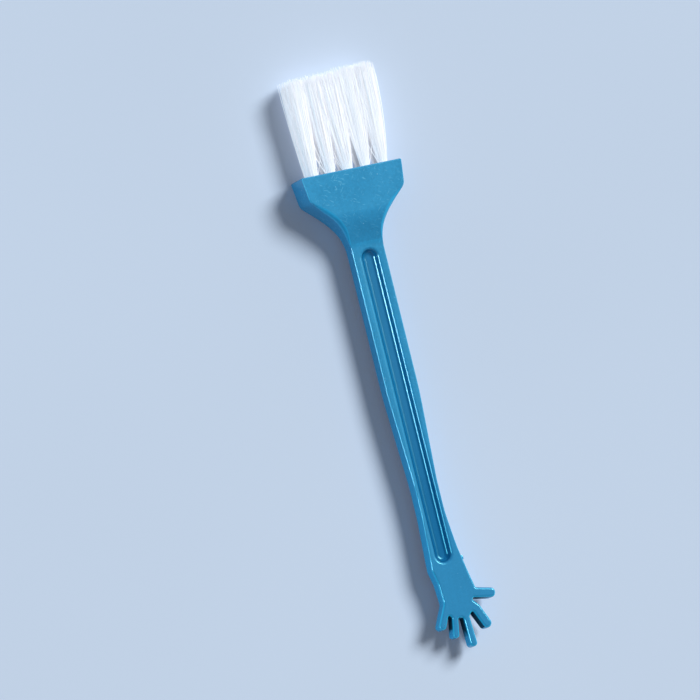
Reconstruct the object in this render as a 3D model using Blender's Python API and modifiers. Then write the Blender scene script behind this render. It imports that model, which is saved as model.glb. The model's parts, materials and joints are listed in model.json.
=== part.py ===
"""A small cleaning brush with a hand-shaped grip: one moulded handle, ten bristle tufts set in
its head in two rows, and the ten flat wire anchors that hold the tufts in their blind holes.

Run it with: blender --background --python part.py, or from Blender's text editor.
Lengths are in metres. +X runs across the brush, +Y along it towards the bristles, and +Z out of
its front. The origin is under the middle of the brush, on the surface that it lies on.
"""

import math
import random

import bmesh
import bpy
from mathutils import Matrix, Vector

MM = 0.001

# The whole brush
HANDLE_LENGTH = 140.4 * MM  # from the tuft face to the tip of the middle finger
BRISTLE_LENGTH = 30.0 * MM  # the longest strands, measured from the tuft face

# The head, a flat bell that carries the tufts
HEAD_WIDTH = 31.2 * MM
HEAD_THICKNESS = 9.7 * MM
HEAD_SIDE_LENGTH = 7.45 * MM  # from the tuft face to the corner of the shoulder
HEAD_SIDE_DRAW = 0.95 * MM  # how far each side draws in over that length
HEAD_TOP_ROUND = 0.4 * MM
SHOULDER_LENGTH = 9.6 * MM  # from the corner of the shoulder to where its slope meets the shaft
SHOULDER_CORNER_ROUND = 3.4 * MM
SHOULDER_SWEEP_ROUND = 16.0 * MM
THINNING_START = 12.0 * MM  # where the head begins to thin towards the shaft
THINNING_LENGTH = 14.0 * MM
THINNING_SLICES = 12

# The shaft
SHAFT_WIDTH = 10.0 * MM
SHAFT_THICKNESS = 4.7 * MM
SHAFT_FULL_LENGTH = 66.0 * MM  # from the tuft face to where the shaft begins to narrow
WAIST_WIDTH = 7.25 * MM
WAIST_START = 92.0 * MM  # from the tuft face
WAIST_LENGTH = 9.0 * MM
SHAFT_BEND_ROUND = 120.0 * MM
WAIST_BEND_ROUND = 45.0 * MM
EDGE_ROUND = 0.4 * MM

# The long recess in the front of the shaft, and its twin in the back
RECESS_WIDTH = 4.9 * MM
RECESS_START = 23.5 * MM  # from the tuft face to the recess's rounded upper end
RECESS_LENGTH = 91.7 * MM
RECESS_DEPTH = 1.7 * MM
RECESS_DRAFT = 0.35 * MM  # how far the wall leans in on its way to the floor
RECESS_FLOOR_ROUND = 0.45 * MM
RECESS_SIDES = 32

# The palm
PALM_START = 112.0 * MM  # from the tuft face to the wrist
PALM_RIGHT_AT_WRIST = 4.7 * MM  # from the middle line
PALM_RIGHT_AT_THUMB = 7.3 * MM
PALM_THUMB_DROP = 12.05 * MM  # from the wrist to the upper side of the thumb
PALM_LEFT_AT_WRIST = 4.2 * MM
PALM_HEEL = 4.5 * MM
PALM_HEEL_DROP = 5.0 * MM
PALM_LEFT_BELOW_HEEL = 3.7 * MM
PALM_WAIST_DROP = 9.0 * MM
PALM_LEFT_AT_LITTLE = 3.35 * MM
PALM_LEFT_DROP = 14.7 * MM  # from the wrist to the root of the little finger
PALM_ROUND = 3.0 * MM
HEEL_ROUND = 1.2 * MM
THUMB_CROTCH = 4.8 * MM
THUMB_CROTCH_DROP = 14.6 * MM

# The fingers, which thin evenly from the wrist to the tip of the middle one: where each root is,
# from the middle line and from the wrist, and its own sizes. Degrees run from the middle line,
# towards the thumb's side. The thumb's root is as wide as the palm makes it.
FINGERTIP_THICKNESS = 4.0 * MM
FINGERS = {
    "thumb": {
        "across": 7.9 * MM,
        "drop": 13.7 * MM,
        "degrees": 78.8,
        "length": 5.0 * MM,
        "tip_width": 2.8 * MM,
    },
    "index": {
        "across": 5.95 * MM,
        "drop": 17.7 * MM,
        "degrees": 24.2,
        "length": 6.8 * MM,
        "root_width": 2.8 * MM,
        "tip_width": 2.75 * MM,
    },
    "middle": {
        "across": 2.45 * MM,
        "drop": 19.8 * MM,
        "degrees": 2.6,
        "root_width": 2.0 * MM,
        "tip_width": 2.3 * MM,
    },
    "ring": {
        "across": -0.95 * MM,
        "drop": 19.3 * MM,
        "degrees": -10.4,
        "length": 5.85 * MM,
        "root_width": 1.95 * MM,
        "tip_width": 2.05 * MM,
    },
    "little": {
        "across": -3.75 * MM,
        "drop": 17.7 * MM,
        "degrees": -24.5,
        "length": 4.65 * MM,
        "root_width": 2.35 * MM,
        "tip_width": 2.35 * MM,
    },
}
FINGER_WEB_ROUND = 0.45 * MM
TIP_ROUND_SHARE = 0.48  # of a fingertip's width

# The stub that the mould's gate leaves on the wrist's right edge
GATE_WIDTH = 1.3 * MM
GATE_STAND = 1.0 * MM
GATE_DROP = 2.85 * MM  # from the wrist
GATE_THICKNESS = 1.6 * MM

# The tufts
TUFTS_IN_ROW = 5
TUFT_PITCH = 5.35 * MM
TUFT_ROW_SPACING = 3.8 * MM
TUFT_DIAMETER = 2.6 * MM
TUFT_DEPTH = 6.0 * MM
TUFT_FOLD_ROUND = 0.5 * MM
TUFT_SIDES = 16
STRAND_RINGS = 3  # rings of strands round the middle one
STRAND_DIAMETER = 0.27 * MM
STRAND_EMBED = 0.5 * MM
STRAND_UNEVEN = 1.6 * MM
STRAND_WANDER = 0.07 * MM
STRAND_TIP_SHARE = 0.7  # of the strand's own diameter
STRAND_BEND_SHARE = 0.45  # of its length, where a strand's slight bend is
BEND_SPREAD_SHARE = 0.3  # of the spread at the tips, reached at the bend
TUFT_SPREAD_ACROSS_SHARE = 1.95  # of its size at the root
TUFT_SPREAD_FRONT_SHARE = 1.25
SEED = 7

# The anchors, flat wire driven edgewise into the holes over the folded strands
ANCHOR_LENGTH = 4.0 * MM
ANCHOR_HEIGHT = 1.7 * MM
ANCHOR_THICKNESS = 0.4 * MM
ANCHOR_ABOVE_FOLD = 1.3 * MM  # from the underside of the fold to the anchor
ANCHOR_EDGE_ROUND = 0.06 * MM

# Fits and modelling allowances
CLEARANCE = 0.3 * MM  # between touching pieces
OVERRUN = 1.0 * MM  # how far a cutter runs past the face that it opens
WELD = 0.002 * MM
ARC_STEP = math.radians(15.0)

# Sizes that follow
OVERALL_LENGTH = HANDLE_LENGTH + BRISTLE_LENGTH
FACE_Y = OVERALL_LENGTH / 2 - BRISTLE_LENGTH
MIDDLE_Z = HEAD_THICKNESS / 2
HOLE_DIAMETER = TUFT_DIAMETER + 2 * CLEARANCE
HOLE_DEPTH = TUFT_DEPTH + CLEARANCE
ANCHOR_Y = FACE_Y - TUFT_DEPTH + ANCHOR_ABOVE_FOLD + ANCHOR_HEIGHT / 2
ROWS = {"front": MIDDLE_Z + TUFT_ROW_SPACING / 2, "back": MIDDLE_Z - TUFT_ROW_SPACING / 2}


def clear_scene():
    """Removes what the file opened with."""
    for thing in list(bpy.data.objects):
        bpy.data.objects.remove(thing)


def make_material(name, colour, roughness, metallic):
    """A Principled material in one colour."""
    material = bpy.data.materials.new(name)
    material.use_nodes = True
    shader = material.node_tree.nodes["Principled BSDF"]
    shader.inputs["Base Color"].default_value = (*colour, 1)
    shader.inputs["Roughness"].default_value = roughness
    shader.inputs["Metallic"].default_value = metallic
    material.diffuse_color = (*colour, 1)
    return material


def add_object(name, bm, collection, material=None):
    """Turns a bmesh into an object in a collection."""
    mesh = bpy.data.meshes.new(name)
    bmesh.ops.recalc_face_normals(bm, faces=bm.faces)
    bm.to_mesh(mesh)
    bm.free()
    thing = bpy.data.objects.new(name, mesh)
    collection.objects.link(thing)
    if material:
        mesh.materials.append(material)
    else:
        thing.hide_render = True
        thing.display_type = "WIRE"
    return thing


def shade(thing, degrees=35.0):
    """Smooth shading with creases where faces meet at more than the given angle."""
    thing.data.shade_smooth()
    thing.data.set_sharp_from_angle(angle=math.radians(degrees))


def boolean(thing, cutter, operation):
    """Cuts or joins one object by another."""
    modifier = thing.modifiers.new(cutter.name, "BOOLEAN")
    modifier.operation = operation
    modifier.solver = "EXACT"
    modifier.object = cutter


def rounded(corners):
    """The points of an outline whose corners, each a point and a radius, are turned into arcs."""
    points = []
    count = len(corners)
    for i, (corner, radius) in enumerate(corners):
        before = corners[i - 1][0] - corner
        after = corners[(i + 1) % count][0] - corner
        opening = before.angle(after)
        turn = math.pi - opening
        # an arc takes at most half of the shorter side, so that its neighbour has room
        run = min(radius * math.tan(turn / 2), min(before.length, after.length) / 2)
        if run < WELD:
            points.append(corner)
            continue
        fitted = run / math.tan(turn / 2)
        inward = (before.normalized() + after.normalized()).normalized()
        centre = corner + inward * (fitted / math.sin(opening / 2))
        start = corner + before.normalized() * run - centre
        steps = max(1, math.ceil(turn / ARC_STEP))
        side = 1 if before.x * after.y - before.y * after.x < 0 else -1
        for step in range(steps + 1):
            points.append(centre + Matrix.Rotation(side * turn * step / steps, 2) @ start)
    return points


def place(across, drop):
    """A point of the outline, by its distance from the middle line and below the tuft face."""
    return Vector((across, FACE_Y - drop))


def head_and_shaft_side():
    """The corners of one side, from the tuft face down to the waist, on the right."""
    half_head = HEAD_WIDTH / 2
    shoulder_end = HEAD_SIDE_LENGTH + SHOULDER_LENGTH
    waist = WAIST_WIDTH / 2
    return [
        (place(half_head, 0), HEAD_TOP_ROUND),
        (place(half_head - HEAD_SIDE_DRAW, HEAD_SIDE_LENGTH), SHOULDER_CORNER_ROUND),
        (place(SHAFT_WIDTH / 2, shoulder_end), SHOULDER_SWEEP_ROUND),
        (place(SHAFT_WIDTH / 2, SHAFT_FULL_LENGTH), SHAFT_BEND_ROUND),
        (place(waist, WAIST_START), WAIST_BEND_ROUND),
        (place(waist, WAIST_START + WAIST_LENGTH), WAIST_BEND_ROUND),
    ]


def finger_frame(name):
    """A finger's sizes, its root, and the directions along it and towards the thumb's side."""
    finger = FINGERS[name]
    angle = math.radians(finger["degrees"])
    root = place(finger["across"], PALM_START + finger["drop"])
    along = Vector((math.sin(angle), -math.cos(angle)))
    thumbward = Vector((math.cos(angle), math.sin(angle)))
    return finger, root, along, thumbward


def root_corners(name):
    """The corners of a finger's root, on the thumb's side and on the little finger's side."""
    finger, root, _, thumbward = finger_frame(name)
    half = thumbward * finger["root_width"] / 2
    return [(root + half, FINGER_WEB_ROUND), (root - half, FINGER_WEB_ROUND)]


def tip_corners(name):
    """The corners of a fingertip, on the thumb's side and on the little finger's side."""
    finger, root, along, thumbward = finger_frame(name)
    # the middle finger ends at the handle's full length
    reach = HANDLE_LENGTH - PALM_START - finger["drop"]
    tip = root + along * finger.get("length", reach / -along.y)
    half = thumbward * finger["tip_width"] / 2
    tip_round = finger["tip_width"] * TIP_ROUND_SHARE
    return [(tip + half, tip_round), (tip - half, tip_round)]


def hand_corners():
    """The corners of the hand, from the right of the wrist round the fingers to its left."""
    corners = [
        (place(PALM_RIGHT_AT_WRIST, PALM_START), WAIST_BEND_ROUND),
        (place(PALM_RIGHT_AT_THUMB, PALM_START + PALM_THUMB_DROP), FINGER_WEB_ROUND),
        *tip_corners("thumb"),
        (place(THUMB_CROTCH, PALM_START + THUMB_CROTCH_DROP), FINGER_WEB_ROUND),
    ]
    for name in ("index", "middle", "ring"):
        near_root, far_root = root_corners(name)
        corners += [near_root, *tip_corners(name), far_root]
    near_root, _ = root_corners("little")
    corners += [near_root, *tip_corners("little")]
    corners += [
        (place(-PALM_LEFT_AT_LITTLE, PALM_START + PALM_LEFT_DROP), PALM_ROUND),
        (place(-PALM_LEFT_BELOW_HEEL, PALM_START + PALM_WAIST_DROP), PALM_ROUND),
        (place(-PALM_HEEL, PALM_START + PALM_HEEL_DROP), HEEL_ROUND),
        (place(-PALM_LEFT_AT_WRIST, PALM_START), PALM_ROUND),
    ]
    return corners


def handle_outline():
    """The closed outline of the handle, seen from the front."""
    right = head_and_shaft_side()
    left = [(Vector((-point.x, point.y)), radius) for point, radius in reversed(right)]
    return rounded(right + hand_corners() + left)


def slab_from_outline(name, points, thickness, edge_round):
    """A flat slab with rounded edges, as a bmesh: a filled curve, made a mesh and welded."""
    curve = bpy.data.curves.new(name, "CURVE")
    curve.dimensions = "2D"
    curve.fill_mode = "BOTH"
    curve.extrude = thickness / 2 - edge_round
    curve.bevel_depth = edge_round
    curve.bevel_resolution = 1
    curve.offset = -edge_round
    spline = curve.splines.new("POLY")
    spline.points.add(len(points) - 1)
    for spot, point in zip(spline.points, points):
        spot.co = (point.x, point.y, 0, 1)
    spline.use_cyclic_u = True
    guide = bpy.data.objects.new(name, curve)
    bpy.context.scene.collection.objects.link(guide)
    mesh = bpy.data.meshes.new_from_object(guide.evaluated_get(bpy.context.evaluated_depsgraph_get()))
    bpy.data.objects.remove(guide)
    bm = bmesh.new()
    bm.from_mesh(mesh)
    bpy.data.meshes.remove(mesh)
    bmesh.ops.remove_doubles(bm, verts=bm.verts, dist=WELD)
    return bm


def thinning_stations():
    """Distances below the tuft face at which the thickness is set: over the head's thinning, and
    at the wrist, where the hand begins to thin."""
    steps = range(THINNING_SLICES + 1)
    return [THINNING_START + THINNING_LENGTH * i / THINNING_SLICES for i in steps] + [PALM_START]


def head_extra(drop):
    """How much further out than the shaft's each face of the head lies, at a distance below the
    tuft face: a smooth step, straight between the stations."""
    share = min(max((drop - THINNING_START) / THINNING_LENGTH, 0), 1) * THINNING_SLICES
    slice_start = min(int(share), THINNING_SLICES - 1)
    low, high = slice_start / THINNING_SLICES, (slice_start + 1) / THINNING_SLICES
    step_low = low * low * (3 - 2 * low)
    step_high = high * high * (3 - 2 * high)
    step = step_low + (step_high - step_low) * (share - slice_start)
    return (HEAD_THICKNESS - SHAFT_THICKNESS) / 2 * (1 - step)


def hand_less(drop):
    """How much further in than the shaft's each face of the hand lies."""
    share = max((drop - PALM_START) / (HANDLE_LENGTH - PALM_START), 0)
    return (SHAFT_THICKNESS - FINGERTIP_THICKNESS) / 2 * share


def set_thickness(bm):
    """Slices the slab across at the stations and moves its two faces apart or together."""
    for drop in thinning_stations():
        everything = [*bm.verts, *bm.edges, *bm.faces]
        bmesh.ops.bisect_plane(
            bm, geom=everything, dist=0, plane_co=(0, FACE_Y - drop, 0), plane_no=(0, 1, 0)
        )
    for vert in bm.verts:
        drop = FACE_Y - vert.co.y
        side = math.copysign(1, vert.co.z)
        vert.co.z += side * (head_extra(drop) - hand_less(drop))


def recess_cutter(name, facing, cutters):
    """The long recess: a cone whose two halves are drawn apart, with a rounded floor edge.
    facing is 1 for the front and -1 for the back."""
    slope = RECESS_DRAFT / RECESS_DEPTH
    rim = RECESS_WIDTH / 2
    bm = bmesh.new()
    bmesh.ops.create_cone(
        bm,
        cap_ends=True,
        segments=RECESS_SIDES,
        radius1=rim - RECESS_DRAFT,
        radius2=rim + slope * OVERRUN,
        depth=RECESS_DEPTH + OVERRUN,
        matrix=Matrix.Rotation(math.pi / RECESS_SIDES, 4, "Z"),
    )
    middle = FACE_Y - RECESS_START - RECESS_LENGTH / 2
    for vert in bm.verts:
        vert.co.y += math.copysign(RECESS_LENGTH / 2 - rim, vert.co.y)
    floor = SHAFT_THICKNESS / 2 - RECESS_DEPTH
    lift = floor + (RECESS_DEPTH + OVERRUN) / 2
    turn = Matrix.Rotation(0 if facing > 0 else math.pi, 4, "Y")
    move = Matrix.Translation((0, middle, MIDDLE_Z)) @ turn @ Matrix.Translation((0, 0, lift))
    bm.transform(move)
    cutter = add_object(name, bm, cutters)
    bevel = cutter.modifiers.new("floor_round", "BEVEL")
    bevel.width = RECESS_FLOOR_ROUND
    bevel.segments = 2
    bevel.limit_method = "ANGLE"
    bevel.angle_limit = math.radians(60)
    return cutter


def tuft_places():
    """The name, x and z of each tuft."""
    for row, z in ROWS.items():
        for i in range(TUFTS_IN_ROW):
            yield f"{row}_{i + 1}", (i - (TUFTS_IN_ROW - 1) / 2) * TUFT_PITCH, z


def add_upright_cylinder(bm, x, z, bottom, top, radius):
    """A cylinder along Y, between two heights."""
    turn = Matrix.Rotation(-math.pi / 2, 4, "X")
    spin = Matrix.Rotation(math.pi / TUFT_SIDES, 4, "Z")
    centre = Matrix.Translation((x, (bottom + top) / 2, z))
    made = bmesh.ops.create_cone(
        bm,
        cap_ends=True,
        segments=TUFT_SIDES,
        radius1=radius,
        radius2=radius,
        depth=top - bottom,
        matrix=centre @ turn @ spin,
    )
    return made["verts"]


def add_box(bm, centre, size):
    """A box by its centre and its size."""
    bmesh.ops.create_cube(bm, size=1, matrix=Matrix.LocRotScale(Vector(centre), None, Vector(size)))


def hole_cutter(cutters):
    """The ten blind holes for the tufts."""
    bm = bmesh.new()
    for _, x, z in tuft_places():
        add_upright_cylinder(bm, x, z, FACE_Y - HOLE_DEPTH, FACE_Y + OVERRUN, HOLE_DIAMETER / 2)
    return add_object("tuft_holes", bm, cutters)


def pocket_cutter(cutters):
    """The bites that the ten anchors make in the walls of their holes."""
    bm = bmesh.new()
    room = 2 * CLEARANCE
    for _, x, z in tuft_places():
        size = (ANCHOR_LENGTH + room, ANCHOR_HEIGHT + room, ANCHOR_THICKNESS + room)
        add_box(bm, (x, ANCHOR_Y, z), size)
    return add_object("anchor_pockets", bm, cutters)


def gate_stub(cutters):
    """The stub left by the gate, to be joined to the wrist's edge."""
    bm = bmesh.new()
    slope = (PALM_RIGHT_AT_THUMB - PALM_RIGHT_AT_WRIST) / PALM_THUMB_DROP
    edge = PALM_RIGHT_AT_WRIST + slope * GATE_DROP
    reach = GATE_STAND + EDGE_ROUND
    centre = (edge + GATE_STAND - reach / 2, FACE_Y - PALM_START - GATE_DROP, MIDDLE_Z)
    add_box(bm, centre, (reach, GATE_WIDTH, GATE_THICKNESS))
    return add_object("gate_stub", bm, cutters)


def make_handle(parts, cutters, material):
    """The one-piece moulding: head, shaft and hand."""
    bm = slab_from_outline("handle_outline", handle_outline(), SHAFT_THICKNESS, EDGE_ROUND)
    set_thickness(bm)
    bm.transform(Matrix.Translation((0, 0, MIDDLE_Z)))
    handle = add_object("handle", bm, parts, material)
    boolean(handle, gate_stub(cutters), "UNION")
    boolean(handle, recess_cutter("front_recess", 1, cutters), "DIFFERENCE")
    boolean(handle, recess_cutter("back_recess", -1, cutters), "DIFFERENCE")
    boolean(handle, hole_cutter(cutters), "DIFFERENCE")
    boolean(handle, pocket_cutter(cutters), "DIFFERENCE")
    shade(handle)
    return handle


def strand_places():
    """Places on a six-sided lattice, in rings round the middle one, as shares of the outer ring."""
    places = [Vector((0, 0))]
    for ring in range(1, STRAND_RINGS + 1):
        for side in range(6):
            start = Matrix.Rotation(math.tau * side / 6, 2) @ Vector((ring, 0))
            run = Matrix.Rotation(math.tau * (side + 2) / 6, 2) @ Vector((1, 0))
            places += [start + run * step for step in range(ring)]
    return [place / STRAND_RINGS for place in places]


def add_strand(bm, centres, radii, turn):
    """A three-sided strand through three points, its root, its bend and its tip: a circle of
    three sides, extruded twice."""
    upright = Matrix.Rotation(math.pi / 2, 4, "X") @ Matrix.Rotation(turn, 4, "Z")
    made = bmesh.ops.create_circle(
        bm, cap_ends=True, segments=3, radius=radii[0], matrix=Matrix.Translation(centres[0]) @ upright
    )
    face = made["verts"][0].link_faces[0]
    for i in (1, 2):
        old = face
        grown = bmesh.ops.extrude_face_region(bm, geom=[old])["geom"]
        face = next(thing for thing in grown if isinstance(thing, bmesh.types.BMFace))
        for vert in face.verts:
            vert.co = centres[i] + (vert.co - centres[i - 1]) * (radii[i] / radii[i - 1])
        if i > 1:
            bmesh.ops.delete(bm, geom=[old], context="FACES_ONLY")


def make_strands(name, x, z, seed, cutters):
    """The free strands of one tuft, which spread a little from the root to the tip."""
    chance = random.Random(seed)
    radius = STRAND_DIAMETER / 2
    outer = TUFT_DIAMETER / 2 - radius
    bend_y = FACE_Y + BRISTLE_LENGTH * STRAND_BEND_SHARE
    bend_across = 1 + (TUFT_SPREAD_ACROSS_SHARE - 1) * BEND_SPREAD_SHARE
    bend_front = 1 + (TUFT_SPREAD_FRONT_SHARE - 1) * BEND_SPREAD_SHARE
    bm = bmesh.new()
    for i, share in enumerate(strand_places()):
        offset = share * outer
        drop = 0 if i == 0 else chance.random() * STRAND_UNEVEN
        wander = Vector((chance.uniform(-1, 1), chance.uniform(-1, 1))) * STRAND_WANDER
        root = Vector((x + offset.x, FACE_Y - STRAND_EMBED, z + offset.y))
        bend = Vector((x + offset.x * bend_across, bend_y, z + offset.y * bend_front))
        tip = Vector(
            (
                x + offset.x * TUFT_SPREAD_ACROSS_SHARE + wander.x,
                FACE_Y + BRISTLE_LENGTH - drop,
                z + offset.y * TUFT_SPREAD_FRONT_SHARE + wander.y,
            )
        )
        turn = chance.random() * math.tau
        add_strand(bm, (root, bend, tip), (radius, radius, radius * STRAND_TIP_SHARE), turn)
    return add_object(name, bm, cutters)


def make_tuft(name, x, z, seed, parts, cutters, material):
    """A bundle of strands, packed in its hole and folded under its anchor."""
    bm = bmesh.new()
    bottom = FACE_Y - TUFT_DEPTH
    add_upright_cylinder(bm, x, z, bottom, FACE_Y, TUFT_DIAMETER / 2)
    fold = [e for e in bm.edges if all(abs(v.co.y - bottom) < WELD for v in e.verts)]
    bmesh.ops.bevel(
        bm, geom=fold, offset=TUFT_FOLD_ROUND, segments=1, profile=0.5, affect="EDGES"
    )
    tuft = add_object(f"tuft_{name}", bm, parts, material)
    boolean(tuft, make_strands(f"strands_{name}", x, z, seed, cutters), "UNION")
    room = 2 * CLEARANCE
    slit = bmesh.new()
    size = (ANCHOR_LENGTH + room, ANCHOR_HEIGHT + room, ANCHOR_THICKNESS + room)
    add_box(slit, (x, ANCHOR_Y, z), size)
    boolean(tuft, add_object(f"slit_{name}", slit, cutters), "DIFFERENCE")
    shade(tuft)
    return tuft


def make_anchor(name, x, z, parts, material):
    """A short piece of flat wire across the bottom of a hole."""
    bm = bmesh.new()
    add_box(bm, (x, ANCHOR_Y, z), (ANCHOR_LENGTH, ANCHOR_HEIGHT, ANCHOR_THICKNESS))
    bmesh.ops.bevel(
        bm, geom=bm.edges[:], offset=ANCHOR_EDGE_ROUND, segments=1, profile=0.5, affect="EDGES"
    )
    return add_object(f"anchor_{name}", bm, parts, material)


def main():
    """Builds the brush."""
    clear_scene()
    parts = bpy.data.collections.new("cleaning_brush")
    cutters = bpy.data.collections.new("cutters")
    for collection in (parts, cutters):
        bpy.context.scene.collection.children.link(collection)
    blue = make_material("blue_moulding", (0.028, 0.24, 0.49), 0.45, 0)
    nylon = make_material("white_nylon", (0.88, 0.89, 0.92), 0.4, 0)
    wire = make_material("anchor_wire", (0.62, 0.62, 0.6), 0.35, 1)
    make_handle(parts, cutters, blue)
    for number, (name, x, z) in enumerate(tuft_places()):
        make_tuft(name, x, z, SEED + number, parts, cutters, nylon)
        make_anchor(name, x, z, parts, wire)


main()
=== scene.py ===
"""A small cleaning brush whose handle ends in an open hand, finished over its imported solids.

The handle is one blue moulding, the bristles are ten tufts of white nylon in two rows, and each
tuft is held in its hole by a short piece of flat wire. +X runs across the brush, +Y along it
towards the bristles, and +Z out of its front. Lengths are in metres, unless a comment says mm.
"""

import json
import math
import random
from contextlib import contextmanager

import bmesh
import bpy
from bpy.props import FloatProperty, FloatVectorProperty, IntProperty, PointerProperty
from bpy.types import Operator, Panel, PropertyGroup
from mathutils import Matrix, Vector
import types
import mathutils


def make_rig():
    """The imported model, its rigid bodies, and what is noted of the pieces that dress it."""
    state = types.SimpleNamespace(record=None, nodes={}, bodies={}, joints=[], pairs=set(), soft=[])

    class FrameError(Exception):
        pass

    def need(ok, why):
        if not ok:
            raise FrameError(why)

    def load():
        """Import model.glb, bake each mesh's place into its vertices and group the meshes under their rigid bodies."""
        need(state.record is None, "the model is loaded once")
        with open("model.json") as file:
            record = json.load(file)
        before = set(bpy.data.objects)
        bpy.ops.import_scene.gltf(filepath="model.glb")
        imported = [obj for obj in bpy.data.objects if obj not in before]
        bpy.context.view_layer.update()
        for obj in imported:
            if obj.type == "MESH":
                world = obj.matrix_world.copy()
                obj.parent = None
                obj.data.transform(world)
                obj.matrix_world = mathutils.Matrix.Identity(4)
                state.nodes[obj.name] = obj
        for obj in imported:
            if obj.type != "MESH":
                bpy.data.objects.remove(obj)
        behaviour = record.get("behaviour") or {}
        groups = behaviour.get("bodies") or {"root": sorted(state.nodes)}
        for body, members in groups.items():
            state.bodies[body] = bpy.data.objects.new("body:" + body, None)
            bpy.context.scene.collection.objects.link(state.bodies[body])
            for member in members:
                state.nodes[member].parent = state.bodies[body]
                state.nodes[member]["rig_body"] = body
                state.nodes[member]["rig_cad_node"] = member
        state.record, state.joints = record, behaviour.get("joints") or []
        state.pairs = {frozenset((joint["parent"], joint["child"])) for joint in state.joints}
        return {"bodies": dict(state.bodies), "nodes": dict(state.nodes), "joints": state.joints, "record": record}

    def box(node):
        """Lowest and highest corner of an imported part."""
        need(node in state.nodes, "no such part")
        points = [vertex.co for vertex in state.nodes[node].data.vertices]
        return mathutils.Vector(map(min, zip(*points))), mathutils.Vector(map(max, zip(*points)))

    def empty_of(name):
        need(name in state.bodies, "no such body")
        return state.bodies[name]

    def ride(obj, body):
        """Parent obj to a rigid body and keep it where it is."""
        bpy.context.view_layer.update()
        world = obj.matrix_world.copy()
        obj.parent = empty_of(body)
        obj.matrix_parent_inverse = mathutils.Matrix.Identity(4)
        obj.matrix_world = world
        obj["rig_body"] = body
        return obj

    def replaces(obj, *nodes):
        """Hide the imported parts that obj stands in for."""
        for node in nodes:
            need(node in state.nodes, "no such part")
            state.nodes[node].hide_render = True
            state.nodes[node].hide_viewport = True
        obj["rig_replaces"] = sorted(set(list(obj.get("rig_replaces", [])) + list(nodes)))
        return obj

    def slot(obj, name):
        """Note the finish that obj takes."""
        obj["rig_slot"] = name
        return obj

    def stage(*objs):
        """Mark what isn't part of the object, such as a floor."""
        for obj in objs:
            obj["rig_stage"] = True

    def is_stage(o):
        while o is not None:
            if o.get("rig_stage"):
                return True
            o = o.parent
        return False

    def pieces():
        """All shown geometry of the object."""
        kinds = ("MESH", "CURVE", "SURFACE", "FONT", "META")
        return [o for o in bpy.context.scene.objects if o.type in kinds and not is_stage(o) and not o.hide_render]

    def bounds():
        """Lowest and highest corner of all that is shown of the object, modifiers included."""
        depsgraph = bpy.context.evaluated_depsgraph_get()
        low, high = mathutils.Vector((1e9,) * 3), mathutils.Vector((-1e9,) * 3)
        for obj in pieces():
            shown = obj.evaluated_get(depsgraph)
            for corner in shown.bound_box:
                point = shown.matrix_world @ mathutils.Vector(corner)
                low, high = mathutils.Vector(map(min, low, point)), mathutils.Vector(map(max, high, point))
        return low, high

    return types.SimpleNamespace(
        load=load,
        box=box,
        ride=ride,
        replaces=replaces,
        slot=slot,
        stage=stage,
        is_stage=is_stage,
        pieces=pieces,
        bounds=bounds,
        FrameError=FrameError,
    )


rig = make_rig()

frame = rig.load()
CAD_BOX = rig.bounds()

bl_info = {
    "name": "Hand-Shaped Cleaning Brush",
    "version": (1, 0, 0),
    "blender": (4, 5, 0),
    "location": "3D View > Sidebar > Brush",
    "description": "Models a small cleaning brush with nylon tufts and a hand-shaped grip",
    "category": "Add Mesh",
}

MM = 0.001
BODY = "root"
TOP_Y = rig.box("handle")[1].y  # the face that the tufts stand in
MIDDLE_Z = (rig.box("handle")[0].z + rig.box("handle")[1].z) / 2
WELD = 0.002 * MM  # what is closer than this is one point
ARC_STEP = math.radians(6)  # the most that an arc turns from point to point
OVERRUN = 1 * MM  # how far a cutter stands out of the face that it cuts

# The outline's smaller roundings
HEAD_TOP_ROUND = 0.4 * MM
SHAFT_BEND_ROUND = 120 * MM
WAIST_BEND_ROUND = 45 * MM
TIP_ROUND_SHARE = 0.48  # of a fingertip's width
WEB_ROUND = 0.45  # between two fingers, in mm

# Each finger's root, in mm from the middle line and below the wrist, its turn in degrees towards
# the thumb, and in mm its length, its width at the root and the tip, and the rounding of its root
# on the thumb's side. The palm's corners make the thumb's root.
FINGERS = {
    "thumb": (7.9, 13.7, 78.8, 5.0, 0, 2.8, WEB_ROUND),
    "index": (5.95, 17.7, 24.2, 6.8, 2.8, 2.75, 3),
    "middle": (2.45, 19.8, 2.6, 8.61, 2.0, 2.3, WEB_ROUND),
    "ring": (-0.95, 19.3, -10.4, 5.85, 1.95, 2.05, WEB_ROUND),
    "little": (-3.75, 17.7, -24.5, 4.65, 2.35, 2.35, WEB_ROUND),
}

# The palm's other corners: from the middle line, below the wrist and their rounding, in mm
PALM_RIGHT = [(4.7, 0, 45), (7.3, 12.05, WEB_ROUND)]
THUMB_CROTCH = (4.8, 14.6, WEB_ROUND)
PALM_LEFT = [(-3.35, 14.7, 3), (-3.7, 9.0, 3), (-4.5, 5.0, 1.2), (-4.2, 0, 3)]

# The stub that the mould's gate leaves on the wrist's right edge, in mm
GATE_DROP = 2.85  # below the wrist
GATE_STAND = 1.0
GATE_SUNK = 0.8
GATE_WIDTH = 1.3
GATE_THICKNESS = 1.6
GATE_ROUND = 0.25

# How the edges of the shoulders and of the hand are eased
EASING_LEAD = 0.6 * MM  # how far above the shoulder's corner it begins
HAND_EASING_RUN = 9 * MM  # below the wrist, over which it comes in
STRETCH_LIFT = 0.4 * MM  # how far above the shoulder's corner and foot a stretch ends
STRETCH_STEP = 0.6 * MM  # between two points of a stretch, at most
STRETCH_LEAST_STEP = 0.09 * MM
COVE_POINTS = 10  # across a cove, 10 degrees apart
COVE_LIFT_SHARE = 0.004  # so that a cove crosses the faces and grazes none
COVE_MARGIN = 0.2 * MM

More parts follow.
